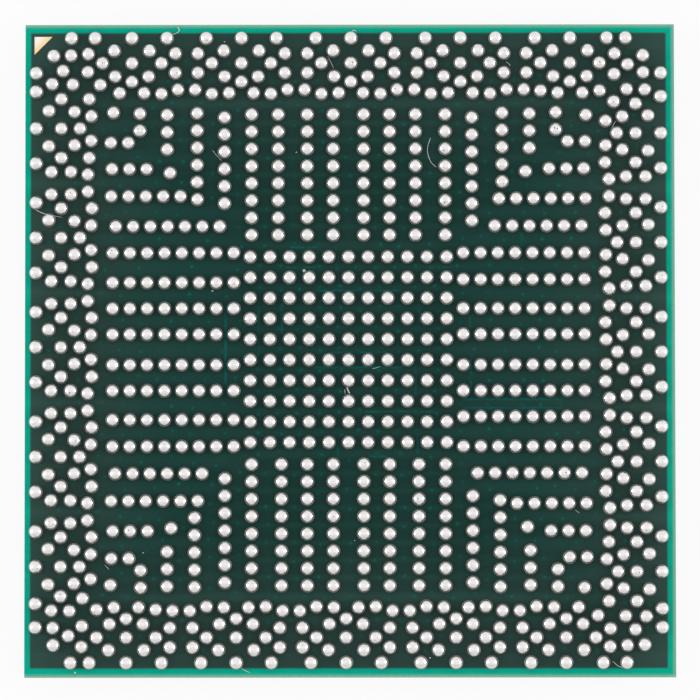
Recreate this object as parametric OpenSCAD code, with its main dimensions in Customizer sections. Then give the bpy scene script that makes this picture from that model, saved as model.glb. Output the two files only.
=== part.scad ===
// Flip-chip ball grid array package, shown with its solder balls upward and its bare die
// at the bottom. All lengths are in millimetres. The origin is the middle of the substrate's
// outline, in the plane of the die's back face, and +Z points out of the ball side.

/* [Substrate] */
// Sawn width of the substrate along X
body_w = 26.86; // [26.8:0.02:28]
// Sawn length of the substrate along Y
body_l = 27.02; // [26.9:0.02:28]
// Thickness of the bare laminate, without copper and solder mask
laminate_t = 1.08; // [0.4:0.02:1.6]
// Thickness of each outer copper layer
copper_t = 0.02; // [0.012:0.002:0.035]
// Thickness of the solder mask over the copper
mask_t = 0.03; // [0.02:0.005:0.05]
// Bare strip of laminate that the mask leaves along three of the sawn edges
mask_pullback = 0.11; // [0.05:0.01:0.2]
// Copper that goes on outside the centres of the outermost balls
copper_margin = 0.19; // [0.1:0.01:0.24]
// How far the saw cut leaves the ball field from the middle of the outline, along X
field_x = -0.057; // [-0.1:0.001:0.1]
// How far the saw cut leaves the ball field from the middle of the outline, along Y
field_y = 0.012; // [-0.1:0.001:0.1]

/* [Solder balls] */
// Diameter of a solder ball
ball_d = 0.6; // [0.5:0.01:0.64]
// Diameter of the round opening in the mask under each ball
opening_d = 0.45; // [0.3:0.01:0.48]
// Gap all round between the solder in an opening and the wall of the opening
solder_gap = 0.005; // [0.002:0.001:0.02]
// Width of the ring of copper that each pad has under the mask
pad_ring = 0.025; // [0.01:0.005:0.03]
// Gap in the copper round each signal pad
pad_isolation = 0.05; // [0.03:0.005:0.06]

/* [Ball map] */
// Distance of the outermost row of balls from the centre of the field
outer_row = 12.9; // [12.85:0.01:13]
// Length of one cell of the belt along the side
cell_pitch = 4.53; // [4.45:0.01:4.58]
// Offset of the belt's middle cell along the side
belt_offset = 0.105; // [0.08:0.005:0.13]
// Distance of the innermost row of an arm from the centre of the field
arm_inner_row = 4.74; // [4.7:0.01:4.8]
// Distance between the rows of an arm
arm_pitch = 0.7145; // [0.7:0.0005:0.725]
// Number of rows in an arm
arm_rows = 8; // [4:1:8]
// Distance between the columns of the centre grid
grid_pitch_x = 0.811; // [0.75:0.001:0.83]
// Distance between the rows of the centre grid
grid_pitch_y = 0.852; // [0.75:0.001:0.87]
// Number of columns in the centre grid
grid_cols = 11; // [3:2:11]
// Number of rows in the centre grid
grid_rows = 10; // [2:2:10]

/* [Pin one marks] */
// Length of the two equal sides of each triangular mark
mark_leg = 0.74; // [0.4:0.02:0.9]
// Distance of a mark from the two edges of the copper in its corner
mark_inset = 0.09; // [0.05:0.01:0.15]
// Thickness of the plating on a mark
plating_t = 0.006; // [0.003:0.001:0.01]

/* [Die] */
// Width of the silicon die along X
die_w = 9.2; // [6:0.1:12]
// Length of the silicon die along Y
die_l = 8.2; // [6:0.1:12]
// Thickness of the silicon die
die_t = 0.78; // [0.5:0.01:0.9]
// Gap between the die and the solder mask, filled with underfill
standoff = 0.08; // [0.06:0.005:0.1]
// How far the underfill spreads over the mask beyond the die
fillet_reach = 1.1; // [0.5:0.05:1.5]
// How far the underfill climbs up the wall of the die
fillet_climb = 0.42; // [0.2:0.02:0.48]
// Hollow of the fillet below the straight line from its top to its toe
fillet_sag = 0.09; // [0.05:0.01:0.12]
// Thickness of the underfill at its toe
fillet_toe = 0.02; // [0.01:0.005:0.04]

/* [Die bumps] */
// Distance between the columns and the rows of bumps under the die
bump_pitch = 0.5; // [0.4:0.05:0.8]
// Diameter of the foot of a bump, in the mask's opening and on the die
bump_foot_d = 0.1; // [0.08:0.01:0.12]
// Smallest distance between the middle of a bump and the edge of the die
bump_margin = 0.3; // [0.2:0.05:0.6]

/* [Hidden] */

// Facets of a full turn on the balls, on the openings and on the wide arc of the fillet
ball_fn = 48;
opening_fn = 32;
fillet_fn = 384;

// How far a cutting shape runs past the face that it cuts
overcut = 0.01;

// Levels, from the back of the die up to the tops of the balls
die_mask_z = die_t + standoff;
die_copper_z = die_mask_z + mask_t;
laminate_z = die_copper_z + copper_t;
ball_copper_z = laminate_z + laminate_t;
pad_z = ball_copper_z + copper_t;
mask_top_z = pad_z + mask_t;

copper_half = outer_row + copper_margin;
pad_d = opening_d + 2 * pad_ring;
neck_d = opening_d - 2 * solder_gap;
bump_neck_d = bump_foot_d - 2 * solder_gap;
// A barrel of this diameter is as wide at the die as at the mask
bump_barrel_d = sqrt(bump_neck_d * bump_neck_d + standoff * standoff);

// ---------------------------------------------------------------------------
// Ball map. The field is a rectangular centre grid, and round it four equal
// sides, each a quarter turn from the next. A side is an arm of straight
// columns and, outside it, a belt along the edge of the substrate.

// Columns of the north arm that have a ball in every row: the place of each along the side
arm_columns = [-4, -2.9, -1.7, -0.63, 0.63, 1.7, 2.77, 4];

// Shorter columns that step down to the diagonals: [along the side, how far the last ball
// lies beyond the arm's last row, rows that the column is short of a full one]
arm_steps = [
    [-9.71, 0.08, 7],
    [-8.62, 0.04, 6],
    [-7.49, -0.02, 5],
    [-6.25, 0.05, 3],
    [-5.12, -0.12, 2],
    [5.1, -0.13, 1],
    [6.35, 0.06, 3],
    [7.48, 0.03, 5],
    [8.57, 0.08, 6]
];

// Two single balls that fill the diagonal: [along the side, short of the arm's last row]
arm_fillers = [[6.22, 3.5], [7.32, 2.37]];

// One belt cell, mirrored about its own middle. Each place is [beside the middle, inward of
// the outermost row].
cell_axis_depths = [0, 1.03, 1.8];
cell_inner_pairs = [[0.73, 0.52], [1.22, 1.03], [0.69, 1.58], [0.51, 2.27]];
cell_outer_pairs = [[1.45, 0], [1.8, 0.63], [1.8, 1.43], [1.91, 2.13]];
cell_low_pair = [[1.22, 2.3]];
// The same pair in the belt's last cell lies nearer the edge
last_low_pair = [[1.22, 2.18]];

// The balls that close the belt at its two ends: [along the side, inward of the outermost row]
west_end = [[-10.48, 0], [-11.45, 0], [-10.76, 0.65], [-11.47, 0.71], [-10.78, 1.39], [-10.26, 1.93]];
east_end = [[10.69, 0], [11.46, 0], [11.01, 0.65], [12.17, 0.72], [11.55, 1.1], [10.99, 1.5]];

arm_last_row = arm_inner_row + (arm_rows - 1) * arm_pitch;
both_sides = [-1, 1];

function column(x, last, count) = [for (i = [0 : 1 : count - 1]) [x, last - i * arm_pitch]];

function cell_middle(k) = belt_offset + k * cell_pitch;

// The balls of a mirrored pair on the chosen sides of the middle of cell k
function pairs(k, places, sides) =
    [for (p = places, s = sides) [cell_middle(k) + s * p[0], outer_row - p[1]]];

function cell_core(k) = concat(
    [for (d = cell_axis_depths) [cell_middle(k), outer_row - d]],
    pairs(k, cell_inner_pairs, both_sides)
);

function full_cell(k) = concat(
    cell_core(k),
    pairs(k, cell_outer_pairs, both_sides),
    pairs(k, cell_low_pair, both_sides)
);

function end_balls(places) = [for (p = places) [p[0], outer_row - p[1]]];

grid_places = [
    for (i = [0 : grid_cols - 1], j = [0 : grid_rows - 1])
        [(i - (grid_cols - 1) / 2) * grid_pitch_x, (j - (grid_rows - 1) / 2) * grid_pitch_y]
];

arm_places = concat(
    [for (x = arm_columns, p = column(x, arm_last_row, arm_rows)) p],
    [for (s = arm_steps, p = column(s[0], arm_last_row + s[1], arm_rows - s[2])) p],
    [for (f = arm_fillers) if (f[1] < (arm_rows - 1) * arm_pitch) [f[0], arm_last_row - f[1]]]
);

belt_places = concat(
    [for (k = [-1 : 1], p = full_cell(k)) p],
    cell_core(-2),
    pairs(-2, concat(cell_outer_pairs, cell_low_pair), [1]),
    end_balls(west_end),
    cell_core(2),
    pairs(2, cell_outer_pairs, [-1]),
    pairs(2, last_low_pair, both_sides),
    end_balls(east_end)
);

// A place turned clockwise by a number of quarter turns
function turned(p, n) = n == 0 ? p : turned([p[1], -p[0]], n - 1);
function side_places(places, n) = [for (p = places) turned(p, n)];

signal_places = [for (n = [0 : 3], p = concat(arm_places, belt_places)) turned(p, n)];
all_places = concat(grid_places, signal_places);

bump_cols = floor((die_w - 2 * bump_margin) / bump_pitch) + 1;
bump_rows = floor((die_l - 2 * bump_margin) / bump_pitch) + 1;
bump_places = [
    for (i = [0 : bump_cols - 1], j = [0 : bump_rows - 1])
        [(i - (bump_cols - 1) / 2) * bump_pitch, (j - (bump_rows - 1) / 2) * bump_pitch]
];

// ---------------------------------------------------------------------------
// Shared shapes

module at_field() {
    translate([field_x, field_y]) children();
}

module at_places(places) {
    for (p = places) translate([field_x + p[0], field_y + p[1]]) children();
}

// Round openings in a flat sheet
module openings(places, d) {
    at_places(places) circle(d = d, $fn = opening_fn);
}

module outline() {
    square([body_w, body_l], center = true);
}

// The mask goes to the saw cut on the left and stays back from the other three edges
module mask_outline() {
    translate([-body_w / 2, -body_l / 2 + mask_pullback])
        square([body_w - mask_pullback, body_l - 2 * mask_pullback]);
}

module copper_outline() {
    at_field() square(2 * copper_half, center = true);
}

// Copper plane, with every signal pad left standing in a gap of its own
module ball_side_pattern() {
    difference() {
        copper_outline();
        openings(signal_places, pad_d + 2 * pad_isolation);
    }
    openings(signal_places, pad_d);
}

// Right triangle in the corner nearest to ball A1, set in from the copper's edges
module mark_outline(grow = 0) {
    corner = copper_half - mark_inset;
    at_field() translate([-corner, corner])
        polygon([
            [-grow, grow],
            [mark_leg + grow * (1 + sqrt(2)), grow],
            [-grow, -mark_leg - grow * (1 + sqrt(2))]
        ]);
}

// Revolved solder joint standing on z = 0: a round barrel with flat feet of diameter foot_d,
// cut off at height, on a neck that goes down into the mask's opening
module solder_joint(d, foot_d, height, neck_h) {
    rotate_extrude($fn = ball_fn) {
        intersection() {
            translate([0, sqrt(d * d - foot_d * foot_d) / 2]) circle(d = d, $fn = ball_fn);
            square([d, height]);
        }
        translate([0, -neck_h]) square([foot_d / 2, neck_h]);
    }
}

// Solder balls on their pads, with necks through the mask
module balls(places) {
    at_places(places) translate([0, 0, mask_top_z])
        solder_joint(ball_d, neck_d, ball_d, mask_t);
}

// ---------------------------------------------------------------------------
// Pieces

module laminate() {
    color("#b9b08a")
        translate([0, 0, laminate_z])
            linear_extrude(laminate_t) outline();
}

module ball_side_copper() {
    color("#b87333")
        translate([0, 0, ball_copper_z]) linear_extrude(copper_t) ball_side_pattern();
}

// Solder mask: it lies over the copper, fills the gaps and the border round it, and leaves
// every pad bare
module ball_side_mask() {
    color("#1f4d44")
        difference() {
            translate([0, 0, ball_copper_z]) linear_extrude(copper_t + mask_t) mask_outline();
            translate([0, 0, ball_copper_z - overcut])
                linear_extrude(copper_t + overcut) ball_side_pattern();
            translate([0, 0, pad_z]) linear_extrude(mask_t + overcut) {
                openings(all_places, opening_d);
                mark_outline(solder_gap);
            }
        }
}

module ball_side_mark() {
    color("#e2b873")
        translate([0, 0, pad_z]) linear_extrude(plating_t) mark_outline();
}

module die_side_copper() {
    color("#b87333")
        translate([0, 0, die_copper_z]) linear_extrude(copper_t) copper_outline();
}

module die_side_mask() {
    color("#1f6d5a")
        difference() {
            translate([0, 0, die_mask_z]) linear_extrude(copper_t + mask_t) mask_outline();
            translate([0, 0, die_copper_z]) linear_extrude(copper_t + overcut) copper_outline();
            translate([0, 0, die_mask_z - overcut]) linear_extrude(mask_t + 2 * overcut) {
                openings(bump_places, bump_foot_d);
                mark_outline(solder_gap);
            }
        }
}

module die_side_mark() {
    color("#e2b873")
        translate([0, 0, die_copper_z - plating_t]) linear_extrude(plating_t) mark_outline();
}

module die() {
    color("#4a4f57")
        at_field() linear_extrude(die_t) square([die_w, die_l], center = true);
}

// Solder bumps that carry the die: each foot stands on the copper, in an opening of the mask
module die_bumps() {
    color("#c9ccd0")
        at_places(bump_places) translate([0, 0, die_mask_z]) mirror([0, 0, 1])
            solder_joint(bump_barrel_d, bump_neck_d, standoff, mask_t);
}

// Section of the fillet: it stands on the mask along X and leans on the die's wall along Y,
// and its face is an arc that sags below the line from its top to the top of its toe
module fillet_section() {
    top = standoff + fillet_climb;
    run = fillet_reach;
    drop = top - fillet_toe;
    chord = sqrt(run * run + drop * drop);
    arc_r = (chord * chord / 4 + fillet_sag * fillet_sag) / (2 * fillet_sag);
    arc_offset = arc_r - fillet_sag;
    difference() {
        polygon([[0, 0], [run, 0], [run, fillet_toe], [0, top]]);
        translate([
            run / 2 + arc_offset * drop / chord,
            (top + fillet_toe) / 2 + arc_offset * run / chord
        ]) circle(r = arc_r, $fn = fillet_fn);
    }
}

// One wall of the fillet, length long, standing on the mask with its back to the die
module fillet_wall(length) {
    rotate([90, 0, 90]) translate([0, 0, -length / 2]) linear_extrude(length) fillet_section();
}

// Underfill: it fills the gap under the die and climbs the die's four walls
module underfill() {
    color("#2b2d2a")
        translate([field_x, field_y, die_mask_z]) mirror([0, 0, 1]) difference() {
            union() {
                translate([-die_w / 2, -die_l / 2]) cube([die_w, die_l, standoff]);
                for (side = [0, 180]) {
                    rotate(side) translate([0, die_l / 2]) fillet_wall(die_w);
                    rotate(side + 90) translate([0, die_w / 2]) fillet_wall(die_l);
                }
                for (sx = both_sides, sy = both_sides)
                    translate([sx * die_w / 2, sy * die_l / 2]) rotate(sx > 0 ? sy * 45 - 45 : 135 - sy * 45)
                        rotate_extrude(angle = 90, $fn = ball_fn) fillet_section();
            }
            for (p = bump_places) translate([p[0], p[1], -overcut])
                cylinder(d = bump_barrel_d + 2 * solder_gap, h = standoff + 2 * overcut, $fn = opening_fn);
        }
}

module centre_balls() { color("#d5d7d9") balls(grid_places); }
module north_arm_balls() { color("#d5d7d9") balls(side_places(arm_places, 0)); }
module east_arm_balls() { color("#d5d7d9") balls(side_places(arm_places, 1)); }
module south_arm_balls() { color("#d5d7d9") balls(side_places(arm_places, 2)); }
module west_arm_balls() { color("#d5d7d9") balls(side_places(arm_places, 3)); }
module north_belt_balls() { color("#d5d7d9") balls(side_places(belt_places, 0)); }
module east_belt_balls() { color("#d5d7d9") balls(side_places(belt_places, 1)); }
module south_belt_balls() { color("#d5d7d9") balls(side_places(belt_places, 2)); }
module west_belt_balls() { color("#d5d7d9") balls(side_places(belt_places, 3)); }

laminate();
ball_side_copper();
ball_side_mask();
ball_side_mark();
die_side_copper();
die_side_mask();
die_side_mark();
die();
die_bumps();
underfill();
centre_balls();
north_arm_balls();
east_arm_balls();
south_arm_balls();
west_arm_balls();
north_belt_balls();
east_belt_balls();
south_belt_balls();
west_belt_balls();
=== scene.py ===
"""The look of a flip-chip ball grid array package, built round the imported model: solder balls,
solder mask, sawn laminate, silicon die, and the lint that lies on it.

Every length is in metres; MM turns a number of millimetres into metres."""

import math
import random

import bpy
import numpy as np
from mathutils import Euler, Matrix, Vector, geometry


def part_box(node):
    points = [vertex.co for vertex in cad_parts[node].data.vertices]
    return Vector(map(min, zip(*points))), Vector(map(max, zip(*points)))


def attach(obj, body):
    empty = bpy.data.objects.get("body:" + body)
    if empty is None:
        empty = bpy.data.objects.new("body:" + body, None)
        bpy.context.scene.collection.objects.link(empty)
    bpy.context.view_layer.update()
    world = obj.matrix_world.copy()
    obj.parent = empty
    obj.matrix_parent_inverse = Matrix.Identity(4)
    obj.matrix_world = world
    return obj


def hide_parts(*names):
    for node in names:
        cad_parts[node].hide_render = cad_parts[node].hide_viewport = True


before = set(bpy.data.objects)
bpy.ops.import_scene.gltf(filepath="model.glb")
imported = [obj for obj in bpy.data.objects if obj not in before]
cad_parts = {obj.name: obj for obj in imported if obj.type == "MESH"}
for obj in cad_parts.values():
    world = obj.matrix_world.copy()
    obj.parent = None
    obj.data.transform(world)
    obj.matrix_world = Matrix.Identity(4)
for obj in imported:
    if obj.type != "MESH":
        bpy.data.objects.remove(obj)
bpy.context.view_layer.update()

MM = 0.001
SEED = 942

BALL_NODES = ["centre_balls"] + [
    f"{side}_{part}_balls"
    for part in ("arm", "belt")
    for side in ("north", "east", "south", "west")
]

# Sizes that the solids do not give directly, in millimetres
BALL_D = 0.6
NECK_D = 0.44
OPENING_D = 0.45
MARK_GAP = 0.005

# Corners of the boxes round the solids
board_low, board_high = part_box("laminate")
mask_low, mask_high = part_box("ball_side_mask")
copper_low, copper_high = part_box("ball_side_copper")
mark_low, mark_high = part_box("ball_side_mark")


# ---------------------------------------------------------------------------
# Camera, lamps and surroundings

CAMERA_DISTANCE = 250 * MM
CAMERA_ANGLES = Euler((math.radians(3.24), math.radians(0.28), math.radians(-0.044)))
CAMERA_AIM = Vector((0.003 * MM, 0.002 * MM, mask_high.z))
VIEW_ANGLE = math.radians(6.62)

# Two soft boxes stand low on the left and the right; powers in watts
LAMP_DISTANCE = 0.30
LAMP_ELEVATION = 17
LAMP_SIZE = (0.10, 0.095)
LEFT_POWER = 0.34
RIGHT_POWER = 0.32

# The world's level for dull surfaces; the lamps add to it
PLAIN_LEVEL = 0.70
# The tent that shiny surfaces mirror: its level, how much brighter it is toward +Y, and how much
# it dims from the middle toward both ends of Y
TENT_LEVEL = 1.005
TENT_TILT = 0.1
TENT_SLOPE = 0.22
# Near the horizon the tent dims, except toward both ends of X. The bounds are the Z and the X of
# a ray's direction.
HORIZON_FALL = 0.2
HORIZON_RISE = (0.05, 0.17)
HORIZON_SIDES = (0.79, 0.99)
# The opening above, through which the camera looks: its depth, and its soft edge in degrees
OPENING_DEPTH = 0.055
OPENING_EDGE = (5, 8)

FLOOR_HALF = 1.5
FLOOR_PALE = (0.93, 0.93, 0.93, 1)
FLOOR_WHITE_SHARE = 0.9


def make_camera():
    data = bpy.data.cameras.new("camera")
    data.sensor_fit = "HORIZONTAL"
    data.angle = VIEW_ANGLE
    data.clip_start = CAMERA_DISTANCE / 100
    data.clip_end = CAMERA_DISTANCE * 100
    camera = bpy.data.objects.new("camera", data)
    camera.rotation_euler = CAMERA_ANGLES
    camera.location = CAMERA_AIM + CAMERA_ANGLES.to_matrix() @ Vector((0, 0, CAMERA_DISTANCE))
    bpy.context.scene.collection.objects.link(camera)
    bpy.context.scene.camera = camera


def make_lamp(name, azimuth, elevation, distance, size, power):
    """A soft box that faces the part. Azimuth 0 stands on the +X side; angles in degrees."""
    data = bpy.data.lights.new(name, "AREA")
    data.shape = "RECTANGLE"
    data.size, data.size_y = size
    data.energy = power
    lamp = bpy.data.objects.new(name, data)
    around, up = math.radians(azimuth), math.radians(elevation)
    away = Vector((math.cos(around) * math.cos(up), math.sin(around) * math.cos(up), math.sin(up)))
    lamp.location = away * distance + Vector((0, 0, mask_high.z))
    lamp.rotation_mode = "QUATERNION"
    lamp.rotation_quaternion = away.to_track_quat("Z", "Y")
    lamp.visible_camera = False
    bpy.context.scene.collection.objects.link(lamp)


class Nodes:
    """A node tree that is written one node at a time."""

    def __init__(self, tree):
        self.tree = tree
        self.tree.nodes.clear()

    def add(self, kind, inputs=None, **settings):
        """A node with its settings, and its inputs set to numbers or joined to sockets."""
        node = self.tree.nodes.new(kind)
        for name, value in settings.items():
            setattr(node, name, value)
        for name, value in (inputs or {}).items():
            socket = node.inputs[name]
            if isinstance(value, bpy.types.NodeSocket):
                self.tree.links.new(value, socket)
            else:
                socket.default_value = value
        return node

    def math(self, operation, *values, clamp=False):
        node = self.add("ShaderNodeMath", dict(enumerate(values)), operation=operation, use_clamp=clamp)
        return node.outputs[0]

    def step(self, value, low, high):
        """0 at low, 1 at high, and a smooth change between them. Low may be the larger number."""
        node = self.add(
            "ShaderNodeMapRange",
            {"Value": value, "From Min": low, "From Max": high},
            interpolation_type="SMOOTHSTEP",
        )
        return node.outputs[0]

    def mix(self, share, first, second):
        """A mix of two colours: the first where share is 0, the second where it is 1."""
        node = self.add("ShaderNodeMix", {0: share, 6: first, 7: second}, data_type="RGBA")
        return node.outputs[2]

    def noise(self, vector, scale, detail=2.0, rough=0.5):
        node = self.add(
            "ShaderNodeTexNoise",
            {"Vector": vector, "Scale": scale, "Detail": detail, "Roughness": rough},
        )
        return node.outputs[0]

    def scaled(self, vector, by):
        node = self.add("ShaderNodeVectorMath", {0: vector, 1: by}, operation="MULTIPLY")
        return node.outputs[0]

    def bump(self, height, distance, strength=1.0):
        node = self.add(
            "ShaderNodeBump",
            {"Height": height, "Distance": distance, "Strength": strength},
        )
        return node.outputs[0]


def seen_rays(nodes):
    """1 for the rays that carry the background into the picture, straight or mirrored."""
    path = nodes.add("ShaderNodeLightPath").outputs
    mirrored = nodes.math("MAXIMUM", path["Is Glossy Ray"], path["Is Transmission Ray"])
    return nodes.math("MAXIMUM", path["Is Camera Ray"], mirrored)


def make_world():
    """White to the camera, a pale tent in mirrored rays, and a plain level for everything else."""
    world = bpy.data.worlds.new("surroundings")
    world.use_nodes = True
    world.cycles.sampling_method = "NONE"
    bpy.context.scene.world = world
    nodes = Nodes(world.node_tree)
    path = nodes.add("ShaderNodeLightPath").outputs
    seen = seen_rays(nodes)
    way = nodes.add("ShaderNodeTexCoord").outputs["Generated"]
    parts = nodes.add("ShaderNodeSeparateXYZ", {0: way}).outputs
    near_horizon = nodes.step(parts[2], HORIZON_RISE[1], HORIZON_RISE[0])
    away_from_lamps = nodes.step(nodes.math("ABSOLUTE", parts[0]), HORIZON_SIDES[1], HORIZON_SIDES[0])
    low = nodes.math("MULTIPLY", near_horizon, away_from_lamps)
    slope = nodes.math("MULTIPLY_ADD", nodes.math("ABSOLUTE", parts[1]), -TENT_SLOPE, TENT_LEVEL)
    tent = nodes.math("MULTIPLY_ADD", parts[1], TENT_TILT, slope)
    tent = nodes.math("MULTIPLY_ADD", low, -HORIZON_FALL, tent)
    inner, outer = (math.cos(math.radians(edge)) for edge in OPENING_EDGE)
    opening = nodes.step(parts[2], outer, inner)
    tent = nodes.math("MULTIPLY", tent, nodes.math("MULTIPLY_ADD", opening, -OPENING_DEPTH, 1.0))
    level = nodes.math("MAXIMUM", path["Is Camera Ray"], tent)
    plain = nodes.add("ShaderNodeBackground", {"Color": (1, 1, 1, 1), "Strength": PLAIN_LEVEL})
    white = nodes.add("ShaderNodeBackground", {"Color": (1, 1, 1, 1), "Strength": level})
    both = nodes.add("ShaderNodeMixShader", {0: seen, 1: plain.outputs[0], 2: white.outputs[0]})
    nodes.add("ShaderNodeOutputWorld", {"Surface": both.outputs[0]})


def make_floor():
    """A wide pale sheet under the part, which keeps the part's shadow."""
    mesh = bpy.data.meshes.new("floor")
    corners = [(-1, -1), (1, -1), (1, 1), (-1, 1)]
    mesh.from_pydata([(x * FLOOR_HALF, y * FLOOR_HALF, 0) for x, y in corners], [], [(0, 1, 2, 3)])
    floor = bpy.data.objects.new("floor", mesh)
    bpy.context.scene.collection.objects.link(floor)
    material = bpy.data.materials.new("floor")
    material.use_nodes = True
    nodes = Nodes(material.node_tree)
    share = nodes.math("MULTIPLY", seen_rays(nodes), FLOOR_WHITE_SHARE)
    paper = nodes.add("ShaderNodeBsdfDiffuse", {"Color": FLOOR_PALE})
    white = nodes.add("ShaderNodeEmission", {"Color": (1, 1, 1, 1), "Strength": 1.0})
    both = nodes.add("ShaderNodeMixShader", {0: share, 1: paper.outputs[0], 2: white.outputs[0]})
    nodes.add("ShaderNodeOutputMaterial", {"Surface": both.outputs[0]})
    mesh.materials.append(material)


# ---------------------------------------------------------------------------
# Materials. Patterns follow the object's own coordinates, turned into millimetres.


def new_material(name):
    material = bpy.data.materials.new(name)
    material.use_nodes = True
    return material, Nodes(material.node_tree)


def object_mm(nodes):
    """Object coordinates in millimetres, and their three parts."""
    place = nodes.add("ShaderNodeTexCoord").outputs["Object"]
    vector = nodes.scaled(place, (1 / MM, 1 / MM, 1 / MM))
    parts = nodes.add("ShaderNodeSeparateXYZ", {0: vector}).outputs
    return vector, parts


def finish_shader(nodes, **inputs):
    """The shader and the output. An input goes by its name in lower case with underscores."""
    named = {}
    for name, value in inputs.items():
        named[name.replace("_", " ").title().replace("Ior", "IOR")] = value
    shader = nodes.add("ShaderNodeBsdfPrincipled", named)
    nodes.add("ShaderNodeOutputMaterial", {"Surface": shader.outputs[0]})


SOLDER = (0.93, 0.92, 0.91, 1)
SOLDER_GREY = (0.62, 0.60, 0.58, 1)
SOLDER_PIT = (0.13, 0.085, 0.075, 1)
SOLDER_FLANK = (0.365, 0.35, 0.335, 1)
CAP_METAL = 0.89
FLANK_METAL = 0.85
CAP_ROUGH = 0.14
FLANK_ROUGH = 0.61
PATCH_ROUGH = 0.45
# Heights over the mask between which a ball turns from its duller flank to its bright cap
FLANK_LOW = 0.325
FLANK_TOP = 0.40
# The pits: how many cells to the millimetre, how far toward -Y of the top they gather, and the
# distances from there up to which there are all of them and past which there are none
PIT_CELLS = 8.0
PIT_SHIFT = 0.05
PIT_REACH = (0.11, 0.19)


def solder_material():
    """Reflowed solder: bright, slightly mottled, with small dark pits round the top of a ball."""
    material, nodes = new_material("solder")
    local = nodes.add("ShaderNodeAttribute", attribute_name="ball_place").outputs["Vector"]
    seed = nodes.add("ShaderNodeAttribute", attribute_name="ball_seed").outputs["Fac"]
    shift = nodes.add(
        "ShaderNodeCombineXYZ",
        {axis: nodes.math("MULTIPLY", seed, by) for axis, by in enumerate((97.0, 53.0, 31.0))},
    ).outputs[0]
    own = nodes.add("ShaderNodeVectorMath", {0: local, 1: shift}, operation="ADD").outputs[0]

    grain = nodes.noise(own, 14.0, detail=4.0, rough=0.6)
    broad = nodes.noise(own, 3.5, detail=1.0)
    cells = nodes.add("ShaderNodeTexVoronoi", {"Vector": own, "Scale": PIT_CELLS}, voronoi_dimensions="3D")
    chance = nodes.add("ShaderNodeSeparateColor", {0: cells.outputs["Color"]}).outputs
    size = nodes.math("MULTIPLY_ADD", chance[0], 0.24, 0.14)
    spot = nodes.step(nodes.math("DIVIDE", cells.outputs["Distance"], size), 1.0, 0.45)
    shown = nodes.math("MULTIPLY_ADD", nodes.math("POWER", chance[2], 2.5), 0.85, 0.15)
    chosen = nodes.math("MULTIPLY", nodes.step(chance[1], 0.50, 0.54), shown)
    parts = nodes.add("ShaderNodeSeparateXYZ", {0: local}).outputs
    lower = nodes.math("ADD", parts[1], PIT_SHIFT)
    across, along = nodes.math("MULTIPLY", parts[0], parts[0]), nodes.math("MULTIPLY", lower, lower)
    reach = nodes.math("SQRT", nodes.math("ADD", across, along))
    near = nodes.step(reach, PIT_REACH[1], PIT_REACH[0])
    pit = nodes.math("MULTIPLY", nodes.math("MULTIPLY", spot, chosen), near)

    bright = nodes.mix(nodes.step(grain, 0.62, 0.30), SOLDER, SOLDER_GREY)
    softened = nodes.mix(0.55, bright, SOLDER)
    colour = nodes.mix(nodes.math("MULTIPLY", pit, 0.85), softened, SOLDER_PIT)
    flank = nodes.step(parts[2], FLANK_TOP, FLANK_LOW)
    colour = nodes.mix(flank, colour, SOLDER_FLANK)
    patch = nodes.math("MULTIPLY", nodes.step(grain, 0.66, 0.74), PATCH_ROUGH)
    smooth = nodes.math("MULTIPLY_ADD", broad, 0.10, CAP_ROUGH)
    rough = nodes.math("ADD", smooth, nodes.math("MAXIMUM", patch, pit))
    rough = nodes.math("MAXIMUM", rough, nodes.math("MULTIPLY", flank, FLANK_ROUGH))
    height = nodes.math("MULTIPLY_ADD", pit, -1.0, nodes.math("MULTIPLY", grain, 0.35))
    finish_shader(
        nodes,
        base_color=colour,
        metallic=nodes.math("MULTIPLY_ADD", flank, FLANK_METAL - CAP_METAL, CAP_METAL),
        roughness=rough,
        normal=nodes.bump(height, 0.006 * MM, 0.15),
    )
    return material


MASK_OVER_COPPER = (0.013, 0.060, 0.050, 1)
# The mask over copper lightened by a painted reflection of the pale surroundings, which is also the colour
# of its random brown patches
MASK_OVER_COPPER_PATCHES_AND_SHEEN = (0.042, 0.087, 0.073, 1)
MASK_OVER_BOARD = (0.0004, 0.445, 0.305, 1)
MASK_THIN_EDGE = (0.16, 0.54, 0.40, 1)
MASK_OVER_GAP = (0.0008, 0.150, 0.125, 1)
MASK_GLOSS = 0.04
MASK_ROUGH = 0.1


def mask_surface(nodes, colour, vector):
    """The satin skin of the mask, with the faint unevenness of a printed film."""
    ripple = nodes.noise(vector, 2.2, detail=3.0)
    fine = nodes.noise(vector, 16.0, detail=3.0)
    height = nodes.math("MULTIPLY_ADD", fine, 0.25, ripple)
    rough = nodes.math("MULTIPLY_ADD", fine, 0.05, MASK_ROUGH)
    finish_shader(
        nodes,
        base_color=colour,
        roughness=rough,
        specular_ior_level=MASK_GLOSS,
        normal=nodes.bump(height, 0.004 * MM, 0.5),
    )


def inside_share(nodes, parts, low, high, soft):
    """1 inside the upright box from low to high, in millimetres, and 0 outside it."""
    share = None
    for axis in (0, 1):
        middle = (low[axis] + high[axis]) / 2 / MM
        half = (high[axis] - low[axis]) / 2 / MM
        away = nodes.math("ABSOLUTE", nodes.math("SUBTRACT", parts[axis], middle))
        along = nodes.step(away, half + soft, half - soft)
        share = along if share is None else nodes.math("MULTIPLY", share, along)
    return share


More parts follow.
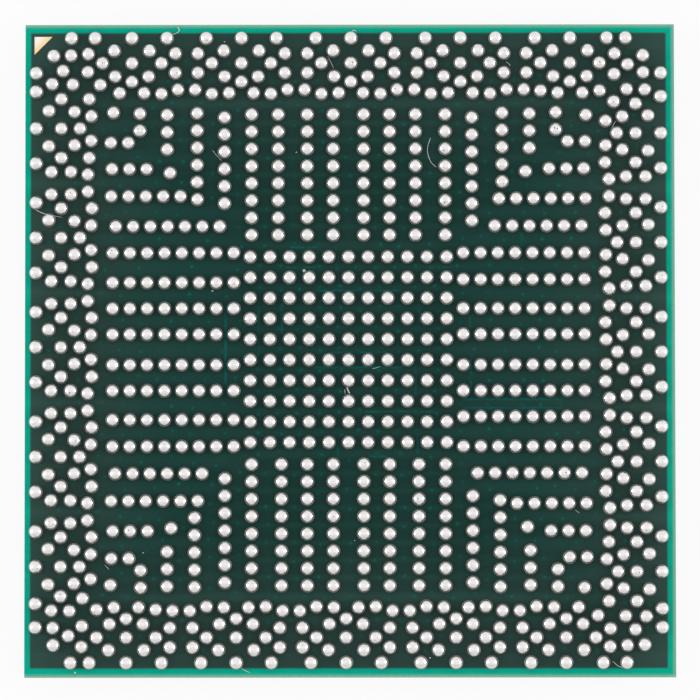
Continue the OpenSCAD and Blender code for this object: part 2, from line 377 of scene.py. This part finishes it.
def mask_material():
    """Solder mask: dark over copper, with browner patches and a painted reflection of the pale surroundings
    that grows toward the outer parts, bright teal over the bare board, paler where it thins out.
    The attribute copper_gap says where a gap in the copper shows through."""
    material, nodes = new_material("solder_mask")
    vector, parts = object_mm(nodes)
    cloud = nodes.noise(vector, 0.35, detail=3.0, rough=0.6)
    speck = nodes.noise(vector, 5.0, detail=3.0, rough=0.7)
    away = nodes.math("MAXIMUM", nodes.math("ABSOLUTE", parts[0]), nodes.math("ABSOLUTE", parts[1]))
    # Painted reflection: from 7 mm to 13 mm out from the middle, the mask over copper turns paler and
    # browner, standing in for the pale surroundings mirrored in it
    outer = nodes.math("MULTIPLY", nodes.step(away, 7.0, 13.0), 0.7)
    patchy = nodes.math("MULTIPLY_ADD", cloud, 0.35, nodes.math("MULTIPLY", speck, 0.25))
    # The brown share mixes random patches with the painted reflection toward the outer parts
    patches_and_sheen = nodes.math("ADD", outer, nodes.math("SUBTRACT", patchy, 0.22), clamp=True)
    dark = nodes.mix(patches_and_sheen, MASK_OVER_COPPER, MASK_OVER_COPPER_PATCHES_AND_SHEEN)
    teal = nodes.mix(nodes.step(speck, 0.35, 0.7), MASK_OVER_BOARD, (0.0004, 0.42, 0.285, 1))
    # The mask thins out along three edges, and reaches the fourth, on the left, at full strength
    left = (2 * mask_low.x - mask_high.x, mask_low.y)
    full = inside_share(nodes, parts, left, (mask_high.x, mask_high.y), 0.09)
    border = nodes.mix(full, MASK_THIN_EDGE, teal)
    over_copper = inside_share(nodes, parts, copper_low, copper_high, 0.06)
    gap = nodes.add("ShaderNodeAttribute", attribute_name="copper_gap").outputs["Fac"]
    dark = nodes.mix(nodes.math("MULTIPLY", gap, nodes.step(speck, 0.25, 0.6)), dark, MASK_OVER_GAP)
    mask_surface(nodes, nodes.mix(over_copper, border, dark), vector)
    return material


def copper_material():
    """Bare copper, a little tarnished."""
    material, nodes = new_material("copper")
    vector, _ = object_mm(nodes)
    grain = nodes.noise(vector, 30.0, detail=4.0)
    colour = nodes.mix(grain, (0.80, 0.42, 0.27, 1), (0.62, 0.30, 0.18, 1))
    rough = nodes.math("MULTIPLY_ADD", grain, 0.2, 0.3)
    finish_shader(nodes, base_color=colour, metallic=1.0, roughness=rough)
    return material


def plating_material():
    """Thin gold on the pin one marks, palest in the corner."""
    material, nodes = new_material("plating")
    vector, parts = object_mm(nodes)
    grain = nodes.noise(vector, 22.0, detail=4.0, rough=0.6)
    broad = nodes.noise(vector, 1.6, detail=1.0)
    outermost = (mark_low.x - mark_high.y) / MM
    reach = nodes.math("SUBTRACT", nodes.math("SUBTRACT", parts[0], parts[1]), outermost)
    toward_gold = nodes.math("ADD", reach, nodes.math("MULTIPLY_ADD", broad, 0.3, -0.15))
    # The colour runs from pale cream in the corner to gold toward the long side, along a soft wavy line
    colour = nodes.mix(nodes.step(toward_gold, 0.25, 0.7), (1.0, 0.92, 0.84, 1), (1.0, 0.74, 0.40, 1))
    finish_shader(
        nodes,
        base_color=colour,
        metallic=1.0,
        roughness=nodes.math("MULTIPLY_ADD", grain, 0.2, 0.25),
        normal=nodes.bump(grain, 0.003 * MM, 0.5),
    )
    return material


# The build-up on each face, and one of its layers, in millimetres; the yarns' cells to the millimetre
BUILD_UP = 0.13
YARN_CELLS = (2.2, 1.0, 7.0)
BUILD_UP_LAYER = 0.035


def laminate_material():
    """Sawn board: a core of glass cloth in resin between thin build-up layers."""
    material, nodes = new_material("laminate")
    vector, parts = object_mm(nodes)
    bottom, top = board_low.z / MM, board_high.z / MM
    middle = (bottom + top) / 2
    core_half = (top - bottom) / 2 - BUILD_UP
    from_middle = nodes.math("ABSOLUTE", nodes.math("SUBTRACT", parts[2], middle))
    in_skin = nodes.step(from_middle, core_half, core_half + 0.02)

    along = nodes.math("ADD", parts[0], parts[1])
    yarn_place = nodes.add("ShaderNodeCombineXYZ", {0: along, 1: 0.0, 2: parts[2]}).outputs[0]
    yarn_place = nodes.scaled(yarn_place, YARN_CELLS)
    yarns = nodes.add("ShaderNodeTexVoronoi", {"Vector": yarn_place, "Scale": 1.0})
    bundle = nodes.step(yarns.outputs["Distance"], 0.62, 0.25)
    resin = nodes.noise(vector, 6.0, detail=4.0)
    core = nodes.mix(bundle, (0.36, 0.35, 0.20, 1), (0.62, 0.61, 0.45, 1))
    core = nodes.mix(nodes.math("MULTIPLY", resin, 0.5), core, (0.42, 0.44, 0.26, 1))
    layer = nodes.math("SINE", nodes.math("MULTIPLY", parts[2], 2 * math.pi / BUILD_UP_LAYER))
    skin = nodes.mix(nodes.step(layer, 0.2, 0.8), (0.20, 0.27, 0.16, 1), (0.30, 0.36, 0.22, 1))
    edge = nodes.mix(in_skin, core, skin)
    on_top = nodes.step(parts[2], top - 0.004, top - 0.001)
    colour = nodes.mix(on_top, edge, nodes.mix(resin, (0.18, 0.46, 0.33, 1), (0.28, 0.56, 0.42, 1)))

    saw = nodes.noise(nodes.scaled(vector, (18.0, 18.0, 1.0)), 1.0, detail=3.0)
    height = nodes.math("MULTIPLY_ADD", saw, 1.0, nodes.math("MULTIPLY", bundle, 0.4))
    finish_shader(
        nodes,
        base_color=colour,
        roughness=nodes.math("MULTIPLY_ADD", saw, 0.2, 0.55),
        specular_ior_level=0.3,
        normal=nodes.bump(height, 0.006 * MM, 0.6),
    )
    return material


GRIND_ANGLE = math.radians(32)


def silicon_material():
    """Ground silicon: a dull mirror with fine straight grinding lines."""
    material, nodes = new_material("silicon")
    vector, _ = object_mm(nodes)
    turn = {"Vector": vector, "Angle": GRIND_ANGLE}
    turned = nodes.add("ShaderNodeVectorRotate", turn).outputs[0]
    lines = nodes.noise(nodes.scaled(turned, (0.6, 38.0, 1.0)), 1.0, detail=5.0, rough=0.7)
    broad = nodes.noise(vector, 0.4, detail=2.0)
    colour = nodes.mix(broad, (0.26, 0.28, 0.32, 1), (0.34, 0.36, 0.40, 1))
    finish_shader(
        nodes,
        base_color=colour,
        metallic=1.0,
        roughness=nodes.math("MULTIPLY_ADD", lines, 0.18, 0.14),
        normal=nodes.bump(lines, 0.002 * MM, 0.4),
    )
    return material


def underfill_material():
    """Dark filled epoxy that has flowed out and set with a satin face."""
    material, nodes = new_material("underfill")
    vector, _ = object_mm(nodes)
    flow = nodes.noise(vector, 1.1, detail=3.0)
    filler = nodes.noise(vector, 40.0, detail=2.0)
    colour = nodes.mix(filler, (0.012, 0.013, 0.013, 1), (0.035, 0.036, 0.034, 1))
    height = nodes.math("MULTIPLY_ADD", filler, 0.12, flow)
    finish_shader(
        nodes,
        base_color=colour,
        roughness=nodes.math("MULTIPLY_ADD", flow, 0.25, 0.28),
        normal=nodes.bump(height, 0.03 * MM, 0.6),
    )
    return material


def lint_material():
    """Pale cotton and paper dust."""
    material, nodes = new_material("lint")
    vector, _ = object_mm(nodes)
    twist = nodes.noise(vector, 25.0, detail=2.0)
    colour = nodes.mix(twist, (0.75, 0.74, 0.70, 1), (0.95, 0.95, 0.93, 1))
    finish_shader(nodes, base_color=colour, roughness=0.7, sheen_weight=0.3)
    return material


# ---------------------------------------------------------------------------
# Solder balls


def node_points(name):
    """The points of a CAD node, in metres."""
    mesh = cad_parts[name].data
    places = np.empty(len(mesh.vertices) * 3, np.float32)
    mesh.vertices.foreach_get("co", places)
    return places.reshape(-1, 3).astype(float)


def ball_axes(name):
    """Where the balls of a CAD node stand, in millimetres: a ball's highest point is on its axis."""
    points = node_points(name)
    tops = points[points[:, 2] > points[:, 2].max() - 1e-7]
    return np.unique(np.round(tops[:, :2] / MM, 4), axis=0)


BALL_SIDES = 24
BALL_RINGS = 12


def ball_shape():
    """One ball as points and faces, in millimetres, with z = 0 in the face of the mask: a neck
    down to the pad, then rings from the foot up to the top."""
    radius, neck = BALL_D / 2, NECK_D / 2
    rise = math.sqrt(radius**2 - neck**2)
    pad = (copper_high.z - mask_high.z) / MM
    foot = math.pi - math.asin(neck / radius)
    profile = [(neck, pad)]
    for i in range(BALL_RINGS):
        polar = foot * (1 - i / BALL_RINGS)
        profile.append((radius * math.sin(polar), rise + radius * math.cos(polar)))
    around = [2 * math.pi * j / BALL_SIDES for j in range(BALL_SIDES)]
    points = [(r * math.cos(a), r * math.sin(a), z) for r, z in profile for a in around]
    points += [(0, 0, pad), (0, 0, rise + radius)]
    low, top = len(points) - 2, len(points) - 1
    faces = []
    for j in range(BALL_SIDES):
        k = (j + 1) % BALL_SIDES
        faces.append((low, k, j))
        for i in range(len(profile) - 1):
            a, b = i * BALL_SIDES, (i + 1) * BALL_SIDES
            faces.append((a + j, a + k, b + k, b + j))
        last = (len(profile) - 1) * BALL_SIDES
        faces.append((last + j, last + k, top))
    return np.array(points), faces, rise


# Faults of a ball, in millimetres: how much smaller it may be, how far out of round, and how deep
# a dent is. DENT_TILT is a dent's angle from the top, in radians, and DENT_WIDTH is 1 less the
# cosine of the angle over which it fades.
LARGEST_SHRINK = 0.004
WOBBLE = 0.0015
DENT_DEPTH = (0.004, 0.010)
DENT_TILT = (0.1, 0.6)
DENT_WIDTH = 0.02
# The foot of a ball keeps its shape up to STILL_BELOW, and the faults are in full FREE_OVER above it
STILL_BELOW = 0.02
FREE_OVER = 0.1


def dented(points, rise, dice):
    """The ball's points with its own small faults: a trace smaller, out of round, and dented
    where test contacts touched it. Nothing moves outward."""
    centre = np.array((0, 0, rise))
    out = points - centre
    length = np.linalg.norm(out, axis=1, keepdims=True)
    out = out / length
    inward = np.full(len(points), dice.uniform(0.0, LARGEST_SHRINK))
    for _ in range(3):
        way = np.array([dice.gauss(0, 1) for _ in range(3)])
        way /= np.linalg.norm(way)
        waves = 3 * np.arccos(np.clip(out @ way, -1, 1)) + dice.uniform(0, 6)
        inward += WOBBLE * (1 + np.cos(waves))
    for _ in range(dice.choice((0, 1, 1, 2))):
        tilt, turn = dice.uniform(*DENT_TILT), dice.uniform(0, 2 * math.pi)
        flat = math.sin(tilt)
        way = np.array((flat * math.cos(turn), flat * math.sin(turn), math.cos(tilt)))
        inward += dice.uniform(*DENT_DEPTH) * np.exp(-((1 - out @ way) / DENT_WIDTH))
    free = np.clip((points[:, 2] - STILL_BELOW) / FREE_OVER, 0, 1)
    return points - out * (inward * free)[:, None]


def make_balls(name, ball, dice, material):
    """The balls of one CAD node as one piece, which stands for that node."""
    shape, faces, rise = ball
    points, local, seeds = [], [], []
    for x, y in ball_axes(name):
        own = dented(shape, rise, dice)
        local.append(own)
        points.append(own + (x, y, mask_high.z / MM))
        seeds.append(np.full(len(own), dice.random()))
    count = len(shape)
    all_faces = [tuple(v + i * count for v in face) for i in range(len(points)) for face in faces]
    piece = make_piece("solder_" + name, np.concatenate(points) * MM, all_faces, [material])
    mesh = piece.data
    mesh.attributes.new("ball_place", "FLOAT_VECTOR", "POINT").data.foreach_set(
        "vector", np.concatenate(local).astype(np.float32).ravel()
    )
    mesh.attributes.new("ball_seed", "FLOAT", "POINT").data.foreach_set(
        "value", np.concatenate(seeds).astype(np.float32)
    )
    mesh.shade_smooth()
    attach(piece, "root")
    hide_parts(name)


def make_piece(name, points, faces, materials):
    mesh = bpy.data.meshes.new(name)
    mesh.from_pydata([tuple(p) for p in points], [], faces)
    for material in materials:
        mesh.materials.append(material)
    piece = bpy.data.objects.new(name, mesh)
    bpy.context.scene.collection.objects.link(piece)
    return piece


# ---------------------------------------------------------------------------
# Solder mask on the ball side: one closed sheet with an opening at every pad. Its points carry
# how much of a gap in the copper shows through there.

OPENING_SIDES = 20
# Round gaps in the copper, in millimetres: their size, how clearly one shows, the least and the
# most room to the axes of the three balls round it, and how far it strays from their middle.
# DOT_TO_BALL is kept from rim to rim, DOT_TO_DOT from middle to middle, and DOT_TO_EDGE from the
# middle to the edge of the copper.
DOT_SIDES = 8
DOT_D = 0.09
DOT_SHOWN = (0.25, 0.9)
DOT_ROOM = (0.52, 1.2)
DOT_STRAY = 0.12
DOT_TO_BALL = 0.03
DOT_TO_DOT = 0.72
DOT_TO_EDGE = 0.6
# Long gaps: their width, the length of a stretch, and how clearly a stretch shows
SPLIT_WIDTH = 0.03
SPLIT_STEP = 0.35
SPLIT_SHOWN = (0.35, 0.95)
# The soft rim of every gap
GAP_BLUR = 0.05

# Long gaps in the copper, as straight lines from point to point, in millimetres
SPLITS = [
    [(-1.42, 2.46), (2.09, 2.46)],
    [(-2.45, 4.25), (-1.42, 4.25)],
    [(-2.58, 3.42), (-1.42, 3.42)],
    [(3.4, 3.42), (4.2, 3.42)],
    [(-0.7, -0.1), (1.55, -0.1)],
    [(-1.4, -0.72), (2.1, -0.72)],
    [(0.7, -2.55), (3.4, -2.55)],
    [(0.85, -4.4), (1.5, -4.4)],
    [(4.8, -2.04), (8.7, -2.04)],
    [(4.8, -2.4), (8.7, -2.4)],
    [(-5.14, 1.84), (-5.14, -1.3)],
    [(-3.78, 1.96), (-3.78, 0.8)],
    [(-3.78, 0.4), (-3.78, -0.2)],
    [(-2.82, 1.84), (-2.82, 0.7)],
    [(-1.2, 2.04), (-1.2, 1.4)],
    [(2.87, 2.04), (2.87, 0.93)],
    [(7.1, 4.7), (7.1, 4.2)],
    [(4.96, 1.4), (4.96, 0.8)],
    [(2.71, -0.75), (2.71, -1.9)],
    [(5.0, -0.5), (5.0, -1.7)],
    [(2.8, -3.7), (2.8, -4.2)],
    [(-0.5, -4.15), (-0.5, -4.6)],
]


def ring(x, y, diameter, sides, turn=0.0):
    steps = [turn + 2 * math.pi * i / sides for i in range(sides)]
    return [(x + diameter / 2 * math.cos(a), y + diameter / 2 * math.sin(a)) for a in steps]


def rectangle(low, high):
    return [(low[0], low[1]), (high[0], low[1]), (high[0], high[1]), (low[0], high[1])]


def strip(start, end, width):
    start, end = Vector(start), Vector(end)
    along = (end - start).normalized()
    side = Vector((-along.y, along.x)) * width / 2
    return [tuple(p) for p in (start - side, end - side, end + side, start + side)]


def mark_opening():
    """The opening round the triangular pin one mark, in millimetres."""
    x, y = mark_low.x / MM - MARK_GAP, mark_high.y / MM + MARK_GAP
    leg = (mark_high.x - mark_low.x) / MM + MARK_GAP * (2 + math.sqrt(2))
    return [(x, y), (x, y - leg), (x + leg, y)]


def circle_centre(a, b, c):
    """The centre of the circle through three points, or None where they stand in a row."""
    (ax, ay), (bx, by), (cx, cy) = a, b, c
    twice = 2 * (ax * (by - cy) + bx * (cy - ay) + cx * (ay - by))
    if abs(twice) < 1e-6:
        return None
    aa, bb, cc = ax**2 + ay**2, bx**2 + by**2, cx**2 + cy**2
    x = (aa * (by - cy) + bb * (cy - ay) + cc * (ay - by)) / twice
    y = (aa * (cx - bx) + bb * (ax - cx) + cc * (bx - ax)) / twice
    return x, y


def dot_places(balls, dice):
    """Small round gaps in the copper plane, where there is most room between the balls: round
    the centres of the circles that pass through three neighbouring balls."""
    _, _, triangles, _, _, _ = geometry.delaunay_2d_cdt([Vector(b) for b in balls], [], [], 0, 1e-4)
    found = []
    for a, b, c in triangles:
        centre = circle_centre(balls[a], balls[b], balls[c])
        if centre is None:
            continue
        x, y = centre
        if DOT_ROOM[0] < math.hypot(x - balls[a][0], y - balls[a][1]) < DOT_ROOM[1]:
            found.append((x + dice.uniform(-DOT_STRAY, DOT_STRAY), y + dice.uniform(-DOT_STRAY, DOT_STRAY)))
    dice.shuffle(found)
    kept = []
    places = np.array(balls)
    limit = copper_high.x / MM - DOT_TO_EDGE
    nearest = BALL_D / 2 + DOT_D / 2 + DOT_TO_BALL
    for x, y in found:
        clear = np.hypot(places[:, 0] - x, places[:, 1] - y).min() > nearest
        apart = all(math.hypot(x - u, y - v) > DOT_TO_DOT for u, v in kept)
        if clear and apart and max(abs(x), abs(y)) < limit:
            kept.append((x, y))
    return kept


def copper_gaps(balls, dice):
    """The gaps in the copper, each as an outline with how clearly it shows there: first the
    outer line, where the copper is whole again, and then the inner one."""
    gaps = []
    for x, y in dot_places(balls, dice):
        gaps.append((ring(x, y, DOT_D + 2 * GAP_BLUR, DOT_SIDES, 0.4), 0.0))
        gaps.append((ring(x, y, DOT_D, DOT_SIDES, 0.4), dice.uniform(*DOT_SHOWN)))
    for start, end in SPLITS:
        start, end = Vector(start), Vector(end)
        steps = max(2, round((end - start).length / SPLIT_STEP))
        stations = [start.lerp(end, i / steps) for i in range(steps + 1)]
        shown = [dice.uniform(*SPLIT_SHOWN) for _ in range(steps)]
        gaps.append((strip(start, end, SPLIT_WIDTH + 2 * GAP_BLUR), 0.0))
        for a, b, share in zip(stations, stations[1:], shown):
            gaps.append((strip(a, b, SPLIT_WIDTH), share))
    return gaps


def unfold_sheet(mesh):
    """Texture coordinates for the bake: the upper face of the sheet in the large square, the
    lower face in a small one beside it, and each upright face in a cell of its own above that."""
    large, small, side_cells = 0.78, 0.20, 96
    right, above, rim = large + 0.01, small + 0.01, 0.002
    corners = np.empty(len(mesh.loops), np.int64)
    mesh.loops.foreach_get("vertex_index", corners)
    starts, totals = (np.empty(len(mesh.polygons), np.int64) for _ in range(2))
    mesh.polygons.foreach_get("loop_start", starts)
    mesh.polygons.foreach_get("loop_total", totals)
    normals = np.empty(len(mesh.polygons) * 3, np.float32)
    mesh.polygons.foreach_get("normal", normals)
    facing = np.repeat(normals[2::3], totals)
    places = np.empty(len(mesh.vertices) * 3, np.float32)
    mesh.vertices.foreach_get("co", places)
    span = np.array((mask_high - mask_low).xy)
    flat = (places.reshape(-1, 3)[corners, :2] - np.array(mask_low.xy)) / span

    upright = np.abs(normals[2::3]) < 0.5
    number = np.repeat(np.cumsum(upright) - 1, totals)
    turn = np.arange(len(corners)) - np.repeat(starts, totals)
    rows = -(-int(upright.sum()) // side_cells)
    cell = np.array((small / side_cells, large / rows))
    square = np.array([(0.15, 0.15), (0.85, 0.15), (0.85, 0.85), (0.15, 0.85)])[turn % 4]
    grid = np.stack((number % side_cells, number // side_cells), 1)
    walls = (grid + square) * cell + (right, above)

    uv = np.where((facing > 0.5)[:, None], flat * large + rim, flat * small + (right, rim))
    uv = np.where((np.abs(facing) < 0.5)[:, None], walls, uv)
    layer = mesh.uv_layers.new(name="OFBake")
    layer.data.foreach_set("uv", uv.astype(np.float32).ravel())


def make_mask(balls, dice, mask):
    """The whole sheet. Its foot stands on the copper inside the copper's outline, and on the
    board outside it."""
    low, high = mask_low / MM, mask_high / MM
    outlines = [rectangle(low, high), rectangle(copper_low / MM, copper_high / MM)]
    holes = [ring(x, y, OPENING_D, OPENING_SIDES) for x, y in balls] + [mark_opening()]
    flat, shapes, shown = [], [], []
    for outline, share in [(o, 0.0) for o in outlines + holes] + copper_gaps(balls, dice):
        shapes.append(list(range(len(flat), len(flat) + len(outline))))
        flat += outline
        shown += [share] * len(outline)
    places, _, triangles, sources, _, within = geometry.delaunay_2d_cdt(
        [Vector(p) for p in flat], [], shapes, 1, 1e-5
    )

    is_hole = set(range(2, 2 + len(holes)))
    sheet = [(t, set(w)) for t, w in zip(triangles, within) if not is_hole & set(w)]
    top_z, pad_z, board_z = high.z, copper_high.z / MM, low.z
    points, faces, shares, index = [], [], [], {}

    def corner(v, z):
        if (v, z) not in index:
            index[v, z] = len(points)
            points.append((places[v][0], places[v][1], z))
            shares.append(max((shown[i] for i in sources[v]), default=0.0))
        return index[v, z]

    edges = {}
    for t, shape_ids in sheet:
        a, b, c = t
        (ax, ay), (bx, by), (cx, cy) = places[a], places[b], places[c]
        if (bx - ax) * (cy - ay) - (by - ay) * (cx - ax) < 0:
            a, c = c, a
        base = pad_z if 1 in shape_ids else board_z
        faces.append([corner(v, top_z) for v in (a, b, c)])
        faces.append([corner(v, base) for v in (c, b, a)])
        for edge in ((a, b), (b, c), (c, a)):
            edges[edge] = base
    for (a, b), base in edges.items():
        other = edges.get((b, a))
        if other is None:
            faces.append([corner(a, base), corner(b, base), corner(b, top_z), corner(a, top_z)])
        elif other > base:
            faces.append([corner(a, base), corner(b, base), corner(b, other), corner(a, other)])
    piece = make_piece("solder_mask_ball_side", np.array(points) * MM, faces, [mask])
    piece.data.attributes.new("copper_gap", "FLOAT", "POINT").data.foreach_set("value", shares)
    unfold_sheet(piece.data)
    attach(piece, "root")
    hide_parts("ball_side_mask")


# ---------------------------------------------------------------------------
# Lint: fine fibres that lie on the mask and on the balls, and crumbs beside them

# Each fibre, in millimetres: its diameter, then its points as (x, y, height over the mask)
FIBRES = [
    (0.022, [(-0.93, 12.20, 0.03), (-0.80, 11.96, 0.10), (-0.66, 11.68, 0.03)]),
    (0.020, [(-5.70, 8.31, 0.02), (-5.50, 8.06, 0.06), (-5.30, 7.85, 0.02)]),
    (0.024, [(3.34, 8.80, 0.06), (3.21, 8.28, 0.12), (3.35, 7.80, 0.06), (3.60, 7.56, 0.02)]),
    (0.026, [(6.46, 11.98, 0.02), (6.66, 11.78, 0.02)]),
    (0.026, [(10.83, 9.16, 0.03), (10.96, 9.40, 0.10), (11.12, 9.60, 0.03)]),
    (0.018, [(-13.14, 5.90, 0.03), (-12.60, 5.62, 0.46), (-11.85, 5.50, 0.03)]),
    (0.030, [(-7.13, 13.42, 0.0), (-7.06, 13.28, 0.02), (-7.16, 13.16, 0.02), (-7.42, 13.09, 0.0)]),
    (0.026, [(0.08, 13.22, 0.0), (0.17, 13.27, 0.02), (0.27, 13.23, 0.0)]),
    (0.028, [(10.80, -12.84, 0.02), (11.04, -13.04, 0.05), (11.28, -13.12, 0.0)]),
    (0.020, [(-4.62, -12.80, 0.03), (-4.50, -13.10, 0.05), (-4.12, -13.32, 0.0)]),
    (0.020, [(-10.12, -8.86, 0.02), (-9.94, -9.05, 0.02)]),
    (0.055, [(-0.15, -1.46, 0.10), (-0.11, -1.58, 0.01), (-0.05, -1.74, 0.0)]),
    (0.022, [(-0.22, -1.62, 0.02), (-0.19, -1.82, 0.0)]),
    (0.018, [(0.92, -0.78, 0.0), (1.08, -0.74, 0.02), (1.25, -0.68, 0.0)]),
    (0.018, [(9.27, -6.60, 0.02), (9.46, -6.74, 0.02)]),
]
# Each crumb, in millimetres: its place on the mask, and its diameter
CRUMBS = [
    (-2.21, 8.20, 0.07),
    (-5.18, 12.79, 0.06),
    (-8.53, -8.37, 0.06),
    (-1.89, 3.29, 0.15),
    (-5.68, 2.46, 0.07),
    (-0.03, -1.76, 0.09),
    (3.29, -12.70, 0.08),
    (-11.34, -13.30, 0.07),
    (0.19, -7.87, 0.05),
]
FIBRE_SIDES = 6
STEPS_A_SPAN = 6
FIBRE_TIP = 0.35
CRUMB_SIDES = 8
CRUMB_ROWS = 4
CRUMB_UNEVEN = (0.7, 1.15)


def smooth_path(points):
    """A soft curve through the points."""
    points = [Vector(p) for p in points]
    ends = [points[0] * 2 - points[1]] + points + [points[-1] * 2 - points[-2]]
    path = []
    for p, q, r, t in zip(ends, ends[1:], ends[2:], ends[3:]):
        for i in range(STEPS_A_SPAN):
            u = i / STEPS_A_SPAN
            square, cube = 2 * p - 5 * q + 4 * r - t, 3 * q - p - 3 * r + t
            path.append(0.5 * (2 * q + (r - p) * u + square * u**2 + cube * u**3))
    return path + [points[-1]]


def add_tube(points, faces, path, diameter):
    """A round fibre along the path, tapered to its ends."""
    start = len(points)
    for i, place in enumerate(path):
        before, after = path[max(i - 1, 0)], path[min(i + 1, len(path) - 1)]
        along = (after - before).normalized()
        side = along.cross((0, 0, 1)).normalized()
        up = side.cross(along)
        share = FIBRE_TIP if i in (0, len(path) - 1) else 1.0
        for j in range(FIBRE_SIDES):
            turn = 2 * math.pi * j / FIBRE_SIDES
            points.append(place + (side * math.cos(turn) + up * math.sin(turn)) * diameter / 2 * share)
    for i in range(len(path) - 1):
        for j in range(FIBRE_SIDES):
            a, b = start + i * FIBRE_SIDES + j, start + i * FIBRE_SIDES + (j + 1) % FIBRE_SIDES
            faces.append((a, b, b + FIBRE_SIDES, a + FIBRE_SIDES))
    faces.append([start + j for j in reversed(range(FIBRE_SIDES))])
    faces.append([start + (len(path) - 1) * FIBRE_SIDES + j for j in range(FIBRE_SIDES)])


def add_crumb(points, faces, x, y, diameter, dice):
    """A small uneven lump that sits on the mask."""
    start = len(points)
    base = mask_high.z / MM
    sides, rows = CRUMB_SIDES, CRUMB_ROWS
    for i in range(1, rows):
        polar = math.pi * i / rows
        for j in range(sides):
            turn = 2 * math.pi * j / sides
            reach = diameter / 2 * dice.uniform(*CRUMB_UNEVEN)
            points.append(
                Vector((
                    x + reach * math.sin(polar) * math.cos(turn),
                    y + reach * math.sin(polar) * math.sin(turn),
                    base + diameter * 0.3 * (1 + math.cos(polar)),
                ))
            )
    top, low = len(points), len(points) + 1
    points += [Vector((x, y, base + diameter * 0.62)), Vector((x, y, base + 0.001))]
    for j in range(sides):
        k = (j + 1) % sides
        faces.append((start + j, start + k, top))
        last = start + (rows - 2) * sides
        faces.append((last + k, last + j, low))
        for i in range(rows - 2):
            a = start + i * sides
            faces.append((a + k, a + j, a + sides + j, a + sides + k))


def make_lint(dice):
    """All fibres and crumbs, as one piece."""
    points, faces = [], []
    for diameter, places in FIBRES:
        lift = mask_high.z / MM + diameter / 2
        add_tube(points, faces, smooth_path([(x, y, z + lift) for x, y, z in places]), diameter)
    for x, y, diameter in CRUMBS:
        add_crumb(points, faces, x, y, diameter, dice)
    piece = make_piece("lint", [p * MM for p in points], faces, [lint_material()])
    piece.data.shade_smooth()
    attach(piece, "root")


# ---------------------------------------------------------------------------
# The scene

make_camera()
make_world()
make_floor()
make_lamp("left_box", 180, LAMP_ELEVATION, LAMP_DISTANCE, LAMP_SIZE, LEFT_POWER)
make_lamp("right_box", 0, LAMP_ELEVATION, LAMP_DISTANCE, LAMP_SIZE, RIGHT_POWER)

dice = random.Random(SEED)
solder, mask = solder_material(), mask_material()
NODE_MATERIALS = {
    "laminate": laminate_material(),
    "ball_side_copper": copper_material(),
    "ball_side_mark": plating_material(),
    "die_side_mask": mask,
    "die": silicon_material(),
    "die_bumps": solder,
    "underfill": underfill_material(),
}
NODE_MATERIALS["die_side_copper"] = NODE_MATERIALS["ball_side_copper"]
NODE_MATERIALS["die_side_mark"] = NODE_MATERIALS["ball_side_mark"]
for name, material in NODE_MATERIALS.items():
    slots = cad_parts[name].data.materials
    slots.clear()
    slots.append(material)

ball = ball_shape()
all_balls = []
for name in BALL_NODES:
    all_balls += [tuple(p) for p in ball_axes(name)]
    make_balls(name, ball, dice, solder)
make_mask(all_balls, dice, mask)
make_lint(dice)

view = bpy.context.scene.view_settings
view.view_transform = "Standard"
